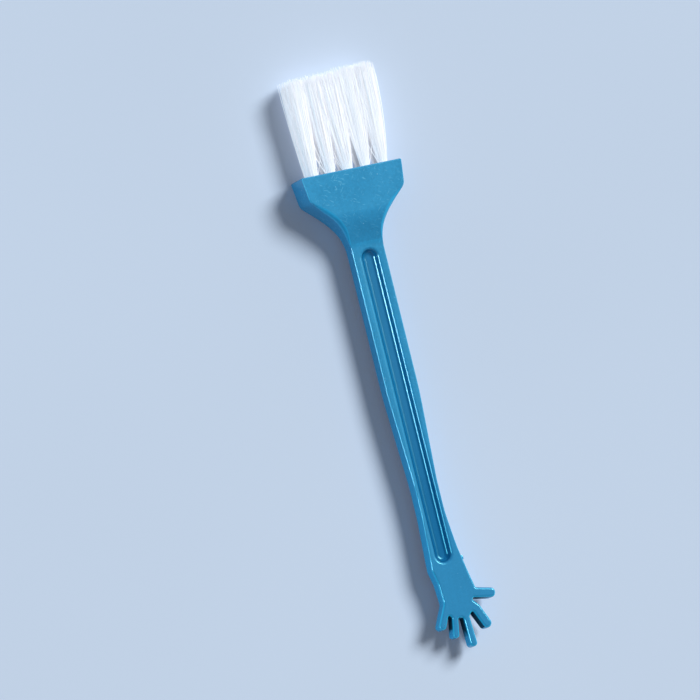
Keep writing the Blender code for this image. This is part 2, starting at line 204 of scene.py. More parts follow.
# Where the recess's edge is looked for
RIM_REACH = 0.8 * MM  # round the recess
RIM_SUNK = 0.3 * MM  # below the shaft's face

# The holes and what stands in them
HOLE_SPARE = 0.3 * MM  # between a hole's bottom and its tuft
MOUTH_ROUND = 0.08 * MM
ANCHOR_CLEARANCE = 0.3 * MM
ROOT_SUNK = 0.7 * MM  # from the tuft face to the top of a tuft's packed root
FOLD_ROUND = 0.5 * MM

# Where the handle's painted light and shade, and its gloss, change
RECESS_BORDER = 0.5 * MM  # above and below the recess, where its marks end
FINGERS_DROP = 14 * MM  # from the wrist to where fingers can face each other
FACING_REACH = 8 * MM  # how far away a finger that faces another can be
SHOULDER_FADE = 2 * MM


def size_of(name, description, millimetres):
    """A length to change, given in millimetres."""
    metres = {"default": millimetres * MM, "precision": 5, "unit": "LENGTH", "subtype": "DISTANCE"}
    return FloatProperty(name=name, description=description, min=0, **metres)


def share_of(name, description, share):
    """A share to change, from 0 to 1."""
    limits = {"min": 0, "max": 1, "subtype": "FACTOR"}
    return FloatProperty(name=name, description=description, default=share, **limits)


def colour_of(name, description, colour):
    """A colour to change, in linear light."""
    limits = {"min": 0, "max": 1, "size": 3, "subtype": "COLOR"}
    return FloatVectorProperty(name=name, description=description, default=colour, **limits)


class HandleSizes(PropertyGroup):
    """The sizes of the blue moulding"""

    head_width: size_of("Head width", "Across the tuft face", 31.2)
    head_thickness: size_of("Head thickness", "From front to back at the tufts", 9.7)
    head_side: size_of("Head side", "From the tuft face to the corner of the shoulder", 7.45)
    head_draw: size_of("Head draw", "How far each side of the head draws in", 0.95)
    shoulder: size_of("Shoulder", "From its corner to where its slope meets the shaft", 9.6)
    shoulder_edge: size_of("Shoulder edge rounding", "The most that its edges are eased", 1.35)
    hand_edge: size_of("Hand edge rounding", "Of the edges of the palm and fingers", 0.75)
    shoulder_round: size_of("Shoulder rounding", "Of the shoulder's corner", 3.4)
    sweep_round: size_of("Sweep rounding", "Of the sweep from the shoulder to the shaft", 16)
    thinning_start: size_of("Thinning start", "Below the tuft face", 12)
    thinning_length: size_of("Thinning length", "Over which the head thins to the shaft", 10.6)
    shaft_width: size_of("Shaft width", "Across the shaft at its widest", 10)
    shaft_thickness: size_of("Shaft thickness", "From front to back of the shaft", 4.7)
    shaft_full: size_of("Full shaft", "From the tuft face to where the shaft narrows", 66)
    waist_width: size_of("Waist width", "Across the shaft at its narrowest", 7.25)
    waist_start: size_of("Waist start", "Below the tuft face", 92)
    waist_length: size_of("Waist length", "Over which the shaft stays at its narrowest", 9)
    wrist: size_of("Wrist", "From the tuft face to the start of the palm", 112)
    full_length: size_of("Handle length", "From the tuft face to the longest fingertip", 140.4)
    fingertip_thickness: size_of("Fingertip thickness", "At the longest fingertip", 4)
    edge_round: size_of("Edge rounding", "Of the outline's front and back edges", 0.4)
    recess_start: size_of("Recess start", "From the tuft face to the recess", 23.5)
    recess_length: size_of("Recess length", "From end to end", 91.7)
    recess_width: size_of("Recess width", "Across its rim", 4.7)
    recess_depth: size_of("Recess depth", "Below the shaft's face", 1.7)
    recess_draft: size_of("Recess draft", "How far its wall leans in", 0.35)
    recess_floor_round: size_of("Recess floor rounding", "Between its floor and wall", 1.2)
    recess_rim_round: size_of("Recess rim rounding", "Of the edge of its rim", 0.85)


class BristleSizes(PropertyGroup):
    """The sizes of the tufts and of their strands"""

    in_row: IntProperty(name="Tufts in a row", description="In each row", default=5, min=1)
    pitch: size_of("Pitch", "From one tuft to the next in its row", 5.35)
    row_spacing: size_of("Row spacing", "From the front row to the back row", 3.8)
    bundle: size_of("Bundle", "Across a tuft where it leaves its hole", 2.65)
    depth: size_of("Depth", "Of a tuft in its hole", 6)
    clearance: size_of("Clearance", "Between a tuft's root and the wall of its hole", 0.1)
    length: size_of("Bristle length", "The longest strands, from the tuft face", 30)
    unevenness: size_of("Unevenness", "Between the longest strands and the shortest", 2.6)
    strand: size_of("Strand", "Across one strand", 0.22)
    strands: IntProperty(name="Strands", description="Strand ends in a tuft", default=240, min=1)
    points: IntProperty(name="Points", description="Points along a strand", default=8, min=3)
    seed: IntProperty(name="Seed", description="Changes how the strands lie", default=11)


class Finishes(PropertyGroup):
    """The colours and the gloss of the brush and of the floor"""

    plastic: colour_of("Plastic", "The moulding's colour", (0.020, 0.257, 0.497))
    plastic_roughness: share_of("Plastic roughness", "Of the moulding", 0.24)
    nylon: colour_of("Nylon", "The bristles' colour", (0.755, 0.76, 0.80))
    nylon_roughness: share_of("Nylon roughness", "Of the bristles", 0.35)
    steel: colour_of("Steel", "The flat wire's colour", (0.60, 0.60, 0.58))
    floor: colour_of("Floor", "The floor's colour", (0.55, 0.656, 0.814))


class BrushSettings(PropertyGroup):
    """All that a user would change"""

    handle: PointerProperty(type=HandleSizes)
    bristles: PointerProperty(type=BristleSizes)
    finishes: PointerProperty(type=Finishes)


# Selecting and shaping, as by hand


def put(owner, settings):
    """Gives settings their values."""
    for name, value in settings.items():
        setattr(owner, name, value)


def only(piece):
    """Makes a piece the one that is selected and active."""
    bpy.ops.object.select_all(action="DESELECT")
    piece.select_set(True)
    bpy.context.view_layer.objects.active = piece


def added(name):
    """Names what was just added, and its data."""
    piece = bpy.context.active_object
    piece.name = piece.data.name = name
    return piece


def apply_place(piece):
    """Puts a piece's place, turn and scale into its mesh."""
    only(piece)
    bpy.ops.object.transform_apply(location=True, rotation=True, scale=True)


def primitive(name, add, **settings):
    """Adds a primitive, names it and applies its place."""
    bpy.ops.object.select_all(action="DESELECT")
    add(**settings)
    piece = added(name)
    apply_place(piece)
    return piece


def block(name, centre, sides):
    """A box with the given sides round a centre."""
    add = bpy.ops.mesh.primitive_cube_add
    return primitive(name, add, size=1, location=centre, scale=sides)


@contextmanager
def editing(piece, kind, wanted=lambda part: True):
    """Edit mode on a piece, with its wanted vertices, edges or faces selected."""
    only(piece)
    bpy.ops.object.mode_set(mode="EDIT")
    bpy.ops.mesh.select_mode(type=kind)
    bpy.ops.mesh.select_all(action="DESELECT")
    mesh = bmesh.from_edit_mesh(piece.data)
    parts = {"VERT": mesh.verts, "EDGE": mesh.edges, "FACE": mesh.faces}[kind]
    chosen = [part for part in parts if wanted(part)]
    for part in chosen:
        part.select_set(True)
    mesh.select_flush_mode()
    bmesh.update_edit_mesh(piece.data)
    if not chosen:
        raise RuntimeError(f"nothing to select on {piece.name}")
    yield
    bpy.ops.object.mode_set(mode="OBJECT")


def round_edges(piece, wanted, width, segments):
    """Rounds the wanted edges of a piece."""
    with editing(piece, "EDGE", wanted):
        bpy.ops.mesh.bevel(offset=width, segments=segments, profile=0.5, affect="EDGES")


def at_level(axis, level):
    """A test for the edges at a level along an axis."""
    return lambda edge: all(abs(getattr(vert.co, axis) - level) < WELD for vert in edge.verts)


def apply_modifier(piece, name, kind, **settings):
    """Adds a modifier with its settings and applies it."""
    only(piece)
    modifier = piece.modifiers.new(name, kind)
    put(modifier, settings)
    bpy.ops.object.modifier_apply(modifier=modifier.name)


def cut(piece, cutter, operation="DIFFERENCE"):
    """Cuts a piece by another, or joins it on, and takes the other away."""
    how = {"operation": operation, "solver": "EXACT", "object": cutter}
    apply_modifier(piece, cutter.name, "BOOLEAN", **how)
    bpy.data.objects.remove(cutter)


def smooth_by_angle(piece, degrees=32):
    """Smooth shading, with creases where faces meet at a greater angle."""
    only(piece)
    bpy.ops.object.shade_smooth_by_angle(angle=math.radians(degrees))


def copy_of(piece, offset):
    """A moved copy of a piece, with its own mesh."""
    only(piece)
    bpy.ops.object.duplicate(linked=False)
    copy = bpy.context.active_object
    copy.location += Vector(offset)
    apply_place(copy)
    return copy


def joined(pieces):
    """Joins pieces into the first of them."""
    only(pieces[0])
    for piece in pieces:
        piece.select_set(True)
    bpy.ops.object.join()
    return pieces[0]


def empty_curve(name, **settings):
    """A curve to draw lines in, made from a circle."""
    bpy.ops.object.select_all(action="DESELECT")
    bpy.ops.curve.primitive_bezier_circle_add(radius=1, location=(0, 0, 0))
    curve = added(name)
    curve.data.splines.clear()
    put(curve.data, settings)
    return curve


def draw_line(curve, points):
    """Draws a line through points in a curve."""
    line = curve.data.splines.new("POLY")
    line.points.add(len(points) - 1)
    for spot, point in zip(line.points, points):
        spot.co = (*point, 1)
    return line


def as_mesh(curve):
    """Makes a curve a mesh of the same name."""
    only(curve)
    bpy.ops.object.convert(target="MESH")
    return added(curve.name)


def new_marks(piece, names):
    """Gives each point of a piece a number under each name, for its finish."""
    attributes = piece.data.attributes
    for name in names:
        attributes.new(name, "FLOAT", "POINT")
    return {name: attributes[name].data for name in names}


def smooth_step(value):
    """A soft step from 0 to 1."""
    share = min(max(value, 0), 1)
    return share * share * (3 - 2 * share)


# The handle's outline


def rounded(corners):
    """The points of a closed outline whose corners, each a point and radius, become arcs."""
    points = []
    count = len(corners)
    for i, (corner, radius) in enumerate(corners):
        before = corners[i - 1][0] - corner
        after = corners[(i + 1) % count][0] - corner
        opening = before.angle(after)
        turn = math.pi - opening
        run = min(radius * math.tan(turn / 2), min(before.length, after.length) / 2)
        if run < WELD:
            points.append(corner)
            continue
        inward = (before.normalized() + after.normalized()).normalized()
        centre = corner + inward * (run / math.tan(turn / 2) / math.sin(opening / 2))
        start = corner + before.normalized() * run - centre
        steps = max(2, math.ceil(turn / ARC_STEP))
        side = 1 if before.x * after.y - before.y * after.x < 0 else -1
        for step in range(steps + 1):
            points.append(centre + Matrix.Rotation(side * turn * step / steps, 2) @ start)
    return points


def finger_corners(name, wrist_y):
    """A finger's root and tip corners on the thumb's side, and its tip and root on the other."""
    across, drop, degrees, *sizes = FINGERS[name]
    length, root_width, tip_width, root_round = (size * MM for size in sizes)
    angle = math.radians(degrees)
    along = Vector((math.sin(angle), -math.cos(angle)))
    thumbward = Vector((math.cos(angle), math.sin(angle)))
    root = Vector((across * MM, wrist_y - drop * MM))
    tip = root + along * length
    half_root = thumbward * root_width / 2
    half_tip = thumbward * tip_width / 2
    tip_round = tip_width * TIP_ROUND_SHARE
    near_side = [(root + half_root, root_round), (tip + half_tip, tip_round)]
    far_side = [(tip - half_tip, tip_round), (root - half_root, WEB_ROUND * MM)]
    return near_side, far_side


def palm_corner(wrist_y, across, drop, radius):
    """A corner of the palm, in metres."""
    return Vector((across * MM, wrist_y - drop * MM)), radius * MM


def hand_corners(wrist_y):
    """The corners of the hand, from the wrist's right round the fingers to its left."""
    corners = [palm_corner(wrist_y, *corner) for corner in PALM_RIGHT]
    near_side, far_side = finger_corners("thumb", wrist_y)
    corners += [near_side[1], far_side[0], palm_corner(wrist_y, *THUMB_CROTCH)]
    for name in ("index", "middle", "ring", "little"):
        near_side, far_side = finger_corners(name, wrist_y)
        corners += near_side + far_side
    corners.pop()  # the little finger's outer side runs straight into the palm
    return corners + [palm_corner(wrist_y, *corner) for corner in PALM_LEFT]


def handle_outline(sizes):
    """The closed outline of the handle, seen from the front."""
    head, shaft, waist = sizes.head_width / 2, sizes.shaft_width / 2, sizes.waist_width / 2
    side = [
        (head, 0, HEAD_TOP_ROUND),
        (head - sizes.head_draw, sizes.head_side, sizes.shoulder_round),
        (shaft, sizes.head_side + sizes.shoulder, sizes.sweep_round),
        (shaft, sizes.shaft_full, SHAFT_BEND_ROUND),
        (waist, sizes.waist_start, WAIST_BEND_ROUND),
        (waist, sizes.waist_start + sizes.waist_length, WAIST_BEND_ROUND),
    ]
    right = [(Vector((across, TOP_Y - drop)), radius) for across, drop, radius in side]
    left = [(Vector((-point.x, point.y)), radius) for point, radius in reversed(right)]
    return rounded(right + hand_corners(TOP_Y - sizes.wrist) + left)


def filled_outline(name, points, thickness, edge_round):
    """A slab with rounded edges: a flat curve, filled, thickened and made a mesh."""
    flat = {"dimensions": "2D", "fill_mode": "BOTH", "extrude": thickness / 2 - edge_round}
    edges = {"bevel_depth": edge_round, "bevel_resolution": 3, "offset": -edge_round}
    curve = empty_curve(name, **flat, **edges)
    draw_line(curve, [(*point, 0) for point in points]).use_cyclic_u = True
    slab = as_mesh(curve)
    with editing(slab, "VERT"):
        bpy.ops.mesh.remove_doubles(threshold=WELD)
        bpy.ops.mesh.dissolve_limited(angle_limit=math.radians(0.5), use_dissolve_boundaries=False)
        bpy.ops.mesh.normals_make_consistent(inside=False)
    return slab


# The handle


def slice_across(piece, heights):
    """Cuts a piece across at each height, for its faces to bend there."""
    for height in heights:
        with editing(piece, "FACE"):
            bpy.ops.mesh.bisect(plane_co=(0, height, 0), plane_no=(0, 1, 0))


def swell(piece, name, share_at, strength):
    """Moves the front and back faces out by each height's share of strength."""
    for side in (1, -1):
        group = piece.vertex_groups.new(name=name)
        for vert in piece.data.vertices:
            if vert.co.z * side > 0:
                group.add([vert.index], share_at(vert.co.y), "REPLACE")
        settings = {"direction": "Z", "mid_level": 0, "strength": strength * side}
        apply_modifier(piece, name, "DISPLACE", vertex_group=group.name, **settings)
        piece.vertex_groups.clear()


def thinned(sizes, y):
    """How far the head has thinned at a height, from 0 to 1."""
    return smooth_step((TOP_Y - sizes.thinning_start - y) / sizes.thinning_length)


def tapered(sizes, y):
    """How far the hand has thinned at a height, from 0 to 1."""
    below_wrist = TOP_Y - sizes.wrist - y
    return min(max(below_wrist / (sizes.full_length - sizes.wrist), 0), 1)


def face_height(sizes, y):
    """How far the front face stands from the middle at a height."""
    shaft = sizes.shaft_thickness
    thickness = sizes.head_thickness + (shaft - sizes.head_thickness) * thinned(sizes, y)
    return (thickness + (sizes.fingertip_thickness - shaft) * tapered(sizes, y)) / 2


def easing(sizes, y):
    """How far the outline's edges are eased at a height."""
    drop = TOP_Y - y
    first = sizes.head_side - EASING_LEAD
    down = (drop - first) / (sizes.thinning_start + sizes.thinning_length - first)
    on_shoulder = smooth_step(down / 0.3) * smooth_step((1 - down) / 0.4)
    on_hand = smooth_step((drop - sizes.wrist) / HAND_EASING_RUN)
    least = sizes.edge_round * 0.75
    return least + on_shoulder * (sizes.shoulder_edge - least) + on_hand * (sizes.hand_edge - least)


def eased_stretches(sizes):
    """The outline's eased stretches: both shoulders and the hand."""
    corners = handle_outline(sizes)
    dense = [corners[0]]
    for here, there in zip(corners, corners[1:]):
        pieces = max(1, math.ceil((there - here).length / STRETCH_STEP))
        for i in range(1, pieces + 1):
            spot = here.lerp(there, i / pieces)
            if (spot - dense[-1]).length > STRETCH_LEAST_STEP:
                dense.append(spot)
    high = TOP_Y - sizes.head_side + STRETCH_LIFT
    low = TOP_Y - sizes.thinning_start - sizes.thinning_length + STRETCH_LIFT
    wrist_y = TOP_Y - sizes.wrist
    yield [spot for spot in dense if spot.x > 0 and low < spot.y < high]
    yield [spot for spot in dense if spot.y < wrist_y]
    yield [spot for spot in dense if spot.x < 0 and low < spot.y < high]


def edge_cutter(sizes, path, facing):
    """What comes off one edge of the outline: a cove as deep as the easing at each height.

    It is mesh code, because a bevel has one width all along.
    """
    shell = bmesh.new()
    rings = []
    turns = [math.radians(10 * i) for i in range(COVE_POINTS)]
    for before, spot, after in zip(path[:1] + path, path, path[1:] + path[-1:]):
        ahead = (after - before).normalized()
        inward = Vector((ahead.y, -ahead.x))
        radius = easing(sizes, spot.y)
        lift = COVE_LIFT_SHARE * radius
        profile = [(-COVE_MARGIN, radius), (-COVE_MARGIN, -COVE_MARGIN), (radius, -COVE_MARGIN)]
        for turn in turns:
            inner, depth = radius * (1 - math.sin(turn)), radius * (1 - math.cos(turn))
            profile.append((inner - lift, depth - lift))
        ring = []
        for inner, depth in profile:
            flat = spot + inward * inner
            height = face_height(sizes, flat.y) - depth
            ring.append(shell.verts.new((*flat, MIDDLE_Z + height * facing)))
        rings.append(ring)
    for first, second in zip(rings, rings[1:]):
        for i in range(len(first)):
            shell.faces.new((first[i - 1], first[i], second[i], second[i - 1]))
    shell.faces.new(rings[0])
    shell.faces.new(rings[-1][::-1])
    bmesh.ops.recalc_face_normals(shell, faces=shell.faces)
    mesh = bpy.data.meshes.new("edge_cove")
    shell.to_mesh(mesh)
    shell.free()
    cutter = bpy.data.objects.new("edge_cove", mesh)
    bpy.context.scene.collection.objects.link(cutter)
    return cutter


def ease_edges(handle, sizes):
    """Eases the front and back edges of the shoulders and of the hand."""
    paths = list(eased_stretches(sizes))
    cut(handle, joined([edge_cutter(sizes, path, facing) for path in paths for facing in (1, -1)]))
    with editing(handle, "VERT"):
        bpy.ops.mesh.dissolve_degenerate(threshold=WELD)
        bpy.ops.mesh.remove_doubles(threshold=WELD)


def handle_blank(sizes):
    """The handle before its cuts: thick at the head, thin at the fingertips."""
    outline = handle_outline(sizes)
    blank = filled_outline("handle_moulding", outline, sizes.shaft_thickness, sizes.edge_round)
    slices = 28
    top = TOP_Y - sizes.thinning_start
    heights = [top - sizes.thinning_length * i / slices for i in range(slices + 1)]
    slice_across(blank, heights + [TOP_Y - sizes.wrist])
    rise = (sizes.head_thickness - sizes.shaft_thickness) / 2
    swell(blank, "head", lambda y: 1 - thinned(sizes, y), rise)
    fall = (sizes.fingertip_thickness - sizes.shaft_thickness) / 2
    swell(blank, "hand", lambda y: tapered(sizes, y), fall)
    blank.location.z = MIDDLE_Z
    apply_place(blank)
    return blank


def recess_cutter(sizes, facing):
    """The long recess: a cone stretched along the shaft, with a rounded floor edge."""
    sides = 64
    rim = sizes.recess_width / 2
    low = MIDDLE_Z + (sizes.shaft_thickness / 2 - sizes.recess_depth)
    middle_y = TOP_Y - sizes.recess_start - sizes.recess_length / 2
    depth = sizes.recess_depth + OVERRUN
    name = "front_recess" if facing > 0 else "back_recess"
    add = bpy.ops.mesh.primitive_cone_add
    wide = rim + sizes.recess_draft / sizes.recess_depth * OVERRUN
    place = {"location": (0, middle_y, low + depth / 2), "rotation": (0, 0, math.pi / sides)}
    cone = {"radius1": rim - sizes.recess_draft, "radius2": wide, "depth": depth}
    cutter = primitive(name, add, vertices=sides, **cone, **place)
    stretch = sizes.recess_length / 2 - rim
    for side in (1, -1):
        with editing(cutter, "VERT", lambda vert: (vert.co.y - middle_y) * side > WELD):
            bpy.ops.transform.translate(value=(0, stretch * side, 0))
    round_edges(cutter, at_level("z", low), sizes.recess_floor_round, 5)
    if facing < 0:
        with editing(cutter, "VERT"):
            bpy.ops.transform.resize(value=(1, 1, -1), center_override=(0, 0, MIDDLE_Z))
            bpy.ops.mesh.normals_make_consistent(inside=False)
    return cutter


def round_recess_rim(handle, sizes, facing):
    """Rounds the recess's edge in the face."""
    rim = sizes.recess_width / 2 + RIM_REACH
    top = TOP_Y - sizes.recess_start + RIM_REACH
    bottom = top - sizes.recess_length - 2 * RIM_REACH
    lift = sizes.shaft_thickness / 2 - RIM_SUNK

    def on_rim(edge):
        spots = [vert.co for vert in edge.verts]
        inside = all(abs(spot.x) < rim and bottom < spot.y < top for spot in spots)
        high = all((spot.z - MIDDLE_Z) * facing > lift for spot in spots)
        return inside and high and edge.calc_face_angle(0) > math.radians(45)

    round_edges(handle, on_rim, sizes.recess_rim_round, 3)


def tuft_places(sizes):
    """The name, x and z of each tuft."""
    for row, side in (("front", 1), ("back", -1)):
        for i in range(sizes.in_row):
            x = (i - (sizes.in_row - 1) / 2) * sizes.pitch
            yield f"{row}_{i + 1}", x, MIDDLE_Z + side * sizes.row_spacing / 2


def rod_along_y(name, x, z, bottom, top, radius, sides):
    """A rod that stands along the brush."""
    add = bpy.ops.mesh.primitive_cylinder_add
    place = {"location": (x, (top + bottom) / 2, z), "rotation": (math.pi / 2, 0, 0)}
    return primitive(name, add, vertices=sides, radius=radius, depth=top - bottom, **place)


def slit_cutter(name, x, z):
    """The room for an anchor: its own box, a little larger."""
    low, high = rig.box("anchor_front_1")
    room = 2 * ANCHOR_CLEARANCE
    return block(name, (x, (low.y + high.y) / 2, z), [side + room for side in high - low])


def at_each_tuft(piece, places):
    """Copies a piece from the first tuft to the others, and joins them."""
    _, first_x, first_z = places[0]
    copies = [copy_of(piece, (x - first_x, 0, z - first_z)) for _, x, z in places[1:]]
    return joined([piece] + copies)


def cut_holes(handle, bristles):
    """The ten blind holes, each with a small lead-in, and the bites of their anchors."""
    radius = bristles.bundle / 2 + bristles.clearance
    bottom = TOP_Y - bristles.depth - HOLE_SPARE
    places = list(tuft_places(bristles))
    _, x, z = places[0]
    rod = rod_along_y("tuft_holes", x, z, bottom, TOP_Y + OVERRUN, radius, 32)
    cut(handle, at_each_tuft(rod, places))
    cut(handle, at_each_tuft(slit_cutter("anchor_bites", x, z), places))
    on_face = at_level("y", TOP_Y)

    def on_mouth(edge):
        spots = [Vector((vert.co.x, vert.co.z)) for vert in edge.verts]
        return on_face(edge) and any(
            all(abs((spot - Vector((x, z))).length - radius) < 10 * WELD for spot in spots)
            for _, x, z in places
        )

    round_edges(handle, on_mouth, MOUTH_ROUND, 2)


def gate_stub(sizes):
    """The stub that the mould's gate leaves."""
    (wrist_x, _, _), (thumb_x, thumb_drop, _) = PALM_RIGHT
    edge = (wrist_x + (thumb_x - wrist_x) / thumb_drop * GATE_DROP) * MM
    stand = GATE_STAND * MM
    reach = stand + GATE_SUNK * MM
    centre = (edge + stand - reach / 2, TOP_Y - sizes.wrist - GATE_DROP * MM, MIDDLE_Z)
    stub = block("gate_stub", centre, (reach, GATE_WIDTH * MM, GATE_THICKNESS * MM))
    round_edges(stub, lambda edge: True, GATE_ROUND * MM, 3)
    return stub


def closed_in(handle, vert):
    """How closely another finger faces a vertex on a finger's side, from 0 to 1."""
    outward = Vector((vert.normal.x, vert.normal.y, 0)).normalized()
    start = vert.co + outward * 0.05 * MM  # clear of the vertex's own faces
    found, spot, _, _ = handle.ray_cast(start, outward, distance=FACING_REACH)
    return smooth_step((FACING_REACH - (spot - vert.co).length) / (3 * MM)) if found else 0


def mark_surface(handle, sizes):
    """Marks the edges for painted highlights, the recess's depth for painted shade and its rims, the sides and soft
    shoulders for painted light, and the finger gaps for painted shade.
    """
    marks = new_marks(handle, ("edge", "recess_shade", "rim", "side", "gap", "soft"))
    high = TOP_Y - sizes.recess_start + RECESS_BORDER
    low = TOP_Y - sizes.recess_start - sizes.recess_length - RECESS_BORDER
    beside = sizes.recess_width / 2 + 0.75 * MM
    foot = sizes.thinning_start + sizes.thinning_length
    for i, vert in enumerate(handle.data.vertices):
        lean = abs(vert.normal.z)
        drop = TOP_Y - vert.co.y
        # painted shade: the recess is painted darker the deeper it sinks; its rim mark only thins the coat
        if abs(vert.co.x) < beside and low < vert.co.y < high:
            sunk = sizes.shaft_thickness / 2 - abs(vert.co.z - MIDDLE_Z)
            marks["recess_shade"][i].value = smooth_step(sunk / sizes.recess_depth * 1.6)
            marks["rim"][i].value = smooth_step((0.995 - lean) / 0.05)
            continue
        # painted light: sides that face outwards are painted lighter, and lose most of their coat
        marks["side"][i].value = smooth_step((0.6 - lean) / 0.4) * (vert.normal.y < 0.9)
        # painted shade: a finger's side that another finger closely faces is painted near black
        if drop > sizes.wrist + FINGERS_DROP and lean < 0.6:
            marks["gap"][i].value = closed_in(handle, vert) * smooth_step((0.5 - lean) / 0.35)
        # painted light: the shoulders' eased rounding is painted lighter, and loses most of its coat
        shoulder = smooth_step((drop - sizes.head_side) / SHOULDER_FADE)
        shoulder *= smooth_step((foot - drop) / SHOULDER_FADE)
        turned = smooth_step((abs(vert.normal.x) - 0.04) / 0.15) * smooth_step((lean - 0.1) / 0.4)
        marks["soft"][i].value = shoulder * turned
        # a painted highlight: rounded edges away from the shoulders and the top are painted lighter
        if not shoulder and vert.normal.y < 0.5:
            edge_highlight = smooth_step((lean - 0.15) / 0.3) * smooth_step((0.96 - lean) / 0.2)
            marks["edge"][i].value = edge_highlight


class BRUSH_OT_handle(Operator):
    """Model the one-piece handle: head, shaft and hand"""

    bl_idname = "brush_maker.handle"
    bl_label = "Make the Handle"

    def execute(self, context):
        settings = context.scene.brush_settings
        sizes = settings.handle
        handle = handle_blank(sizes)
        ease_edges(handle, sizes)
        cut(handle, gate_stub(sizes), "UNION")
        for facing in (1, -1):
            cut(handle, recess_cutter(sizes, facing))
            round_recess_rim(handle, sizes, facing)
        cut_holes(handle, settings.bristles)
        smooth_by_angle(handle)
        mark_surface(handle, sizes)
        apply_modifier(handle, "even_normals", "WEIGHTED_NORMAL", keep_sharp=True)
        handle.data.materials.append(blue_plastic(settings.finishes))
        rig.ride(handle, BODY)
        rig.replaces(handle, "handle")
        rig.slot(handle, "handle_plastic")
        return {"FINISHED"}


# The bristles

# How each tuft has set in use, in mm at its tips: its lean to the right, its growth to either
# side and how much shorter it has worn. The front row comes first.
TUFT_SETS = (
    *((0.9, 1.6, 1.2), (0.4, 1.4, 0.9), (-0.1, 2.5, 0.8), (0.5, 2.0, 0.3), (0.8, 2.1, 0.0)),
    *((0.8, 1.8, 1.3), (0.6, 2.0, 1.0), (0.5, 2.1, 0.7), (0.7, 2.0, 0.4), (0.7, 2.0, 0.2)),
)
STRAY_SHARE = 0.05  # of a tuft's strands
GAP_SIDE_SHARE = 0.65  # of a tuft's radius, past which a strand faces the next tuft
CROSSING_SHARE = 0.06  # of the strands that face the next tuft
CROSSING_LEAST, CROSSING_MOST = 2.5, 6.0  # mm at the tip
STRAND_ROOT = -1.0 * MM  # from the tuft face
TIP_SHARE = 0.4  # of the strand's own radius


def strand_points(sizes, chance, spot, lean, spread, short, crossing):
    """The points of a strand, from inside its hole to its tip, about its tuft's axis."""
    stray = chance.random() < STRAY_SHARE
    reach = sizes.length - short - chance.random() ** 0.8 * sizes.unevenness
    tip = Vector((spot.x * spread.x + lean.x, spot.y * spread.y + lean.y))
    tip += Vector((chance.gauss(0, 1), chance.gauss(0, 0.6))) * 0.4 * MM
    if stray:
        tip += Vector((chance.uniform(-1, 1) * 1.9, chance.uniform(-1, 1) * 0.5)) * MM
    tip.x += crossing
    bow = Vector((chance.gauss(0, 1), chance.gauss(0, 1))) * 0.16 * MM
    points = []
    for i in range(sizes.points):
        way = i / (sizes.points - 1)
        fan = 1 - (1 - way) ** 1.7
        arch = math.sin(math.pi * way)
        flat = spot + (tip - spot) * fan + bow * arch
        points.append((flat.x, STRAND_ROOT + (reach - STRAND_ROOT) * way, flat.y))
    return points


def draw_strands(name, sizes, x, z, chance, set_of_tuft):
    """The strands of one tuft, drawn as curves and made one mesh."""
    lean_across, growth, short = (value * MM for value in set_of_tuft)
    thick = {"bevel_depth": sizes.strand / 2, "bevel_resolution": 1, "use_fill_caps": True}
    curve = empty_curve(name, dimensions="3D", fill_mode="FULL", **thick)
    lean = Vector((lean_across, chance.uniform(-0.2, 0.2) * MM))
    spread = Vector((1 + 2 * growth / sizes.bundle, chance.uniform(1.15, 1.3)))
    outer = (sizes.bundle - sizes.strand) / 2
    row_end = sizes.in_row / 2 * sizes.pitch
    golden = math.pi * (3 - math.sqrt(5))  # the turn that packs spots evenly in a circle
    for i in range(sizes.strands):
        radius = outer * math.sqrt((i + 0.5) / sizes.strands)
        spot = Vector((math.cos(i * golden), math.sin(i * golden))) * radius
        side = math.copysign(1, spot.x)
        at_gap = abs(spot.x) > GAP_SIDE_SHARE * outer and abs(x + side * sizes.pitch) < row_end
        crosses = at_gap and chance.random() < CROSSING_SHARE
        reach = chance.uniform(CROSSING_LEAST, CROSSING_MOST) if crosses else 0
        points = strand_points(sizes, chance, spot, lean, spread, short, side * reach * MM)
        placed = [(x + across, TOP_Y + up, z + out) for across, up, out in points]
        draw_line(curve, placed).points[-1].radius = TIP_SHARE
    tuft = as_mesh(curve)
    mark_strands(tuft, sizes, chance)
    return tuft


def mark_strands(tuft, sizes, chance):
    """Marks each strand's own tone, the way to its tip and how deep between the rows it is; the last two place painted
    shade.
    """
    vertices = tuft.data.vertices
    per_strand = len(vertices) // sizes.strands
    marks = new_marks(tuft, ("tone", "way", "deep"))
    outermost = (sizes.in_row - 1) / 2 * sizes.pitch
    tone = 0
    for i, vert in enumerate(vertices):
        if i % per_strand == 0:
            tone = chance.random()
        way = min(max((vert.co.y - TOP_Y) / sizes.length, 0), 1)
        inward = 1 - abs(vert.co.z - MIDDLE_Z) / (sizes.row_spacing / 2)
        between_rows = smooth_step(inward * 1.6 + 0.1) * smooth_step(1 - way / 0.55)
        enclosed = smooth_step((outermost + 0.2 * MM - abs(vert.co.x)) / (1 * MM))
        marks["tone"][i].value = tone
        marks["way"][i].value = way
        marks["deep"][i].value = between_rows * enclosed


def tuft_root(name, sizes, x, z):
    """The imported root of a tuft, rounded where its strands fold, with its anchor's slit."""
    bottom = TOP_Y - sizes.depth
    root = rod_along_y(name, x, z, bottom, TOP_Y - ROOT_SUNK, sizes.bundle / 2, 24)
    round_edges(root, at_level("y", bottom), FOLD_ROUND, 3)
    cut(root, slit_cutter("slit", x, z))
    return root


